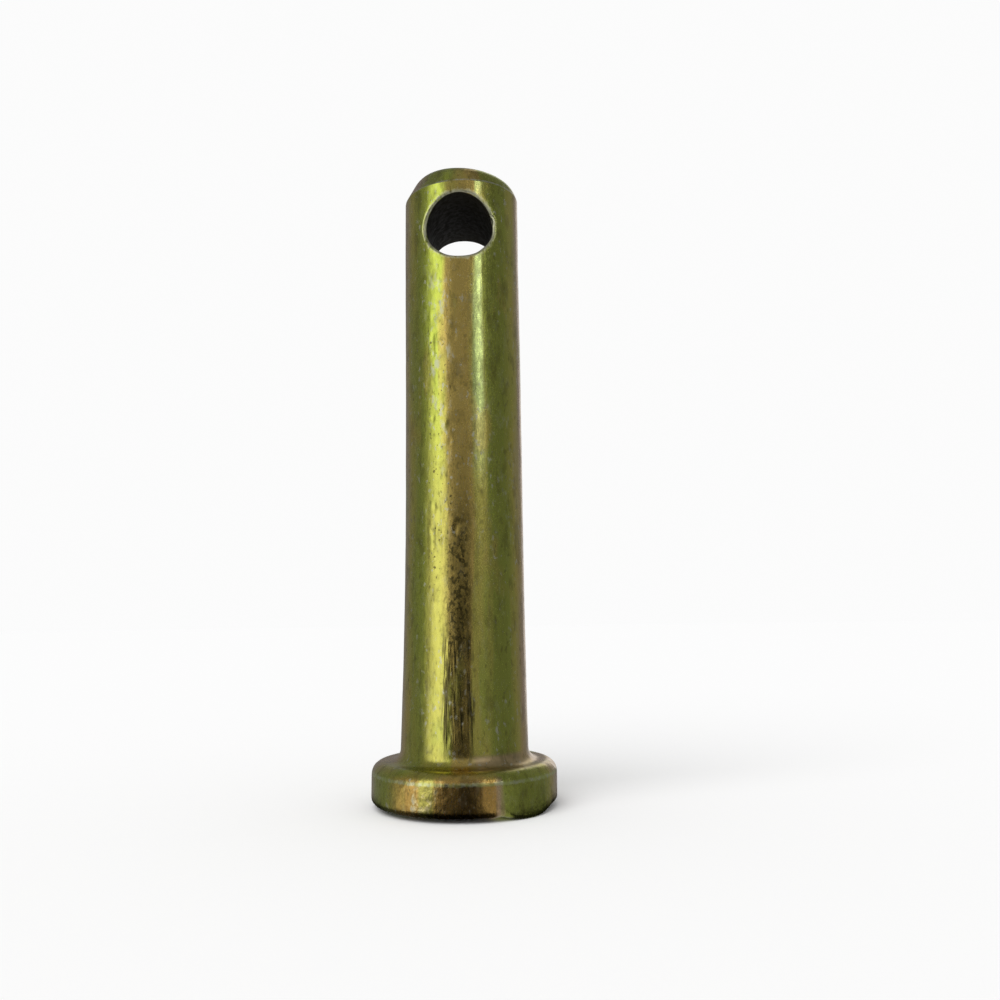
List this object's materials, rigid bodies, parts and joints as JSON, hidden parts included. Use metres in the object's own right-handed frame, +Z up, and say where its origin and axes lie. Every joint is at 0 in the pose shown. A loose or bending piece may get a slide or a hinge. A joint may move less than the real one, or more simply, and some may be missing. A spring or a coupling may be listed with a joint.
{
  "type": "clevis pin",
  "caption": "Headed steel clevis pin, yellow-zinc plated, with a rounded swaged point and a cross hole for a linch or cotter pin.",
  "frame": {"origin": "centre of the head's end face, the flat that the pin stands on", "axes": "+Z up the shank's axis from the head to the point; the cross hole runs along Y; +X to the right as the hole faces the viewer at -Y, with the flash of the rim on the +X -Y side"},
  "size_m": [0.0182, 0.0182, 0.0647],
  "materials": {
    "yellow_zinc_steel": "satin"
  },
  "bodies": {
    "root": {"clevis_pin": "yellow_zinc_steel"}
  },
  "joints": []
}
